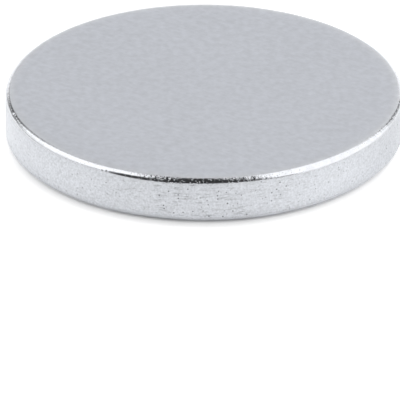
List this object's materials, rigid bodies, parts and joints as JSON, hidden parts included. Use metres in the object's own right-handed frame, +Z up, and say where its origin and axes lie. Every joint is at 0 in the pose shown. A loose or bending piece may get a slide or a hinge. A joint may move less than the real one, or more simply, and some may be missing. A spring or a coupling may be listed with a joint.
{
  "type": "disc magnet",
  "caption": "Flat round magnet, nickel plated, with tumbled edges; holds itself or a glued-in part to steel, and is set in a round pocket or laid on a face.",
  "frame": {"origin": "centre of the lower flat face, which the disc lies on", "axes": "+Z up along the disc's axis, from the lower face to the upper one; X and Y are free, because the disc is round"},
  "size_m": [0.025, 0.025, 0.003],
  "materials": {
    "nickel_plate": "tumbled satin nickel plate on the flat faces, brighter on the rolled edges, finely pitted on the wall"
  },
  "bodies": {
    "root": {"disc_magnet": "nickel_plate"}
  },
  "joints": []
}
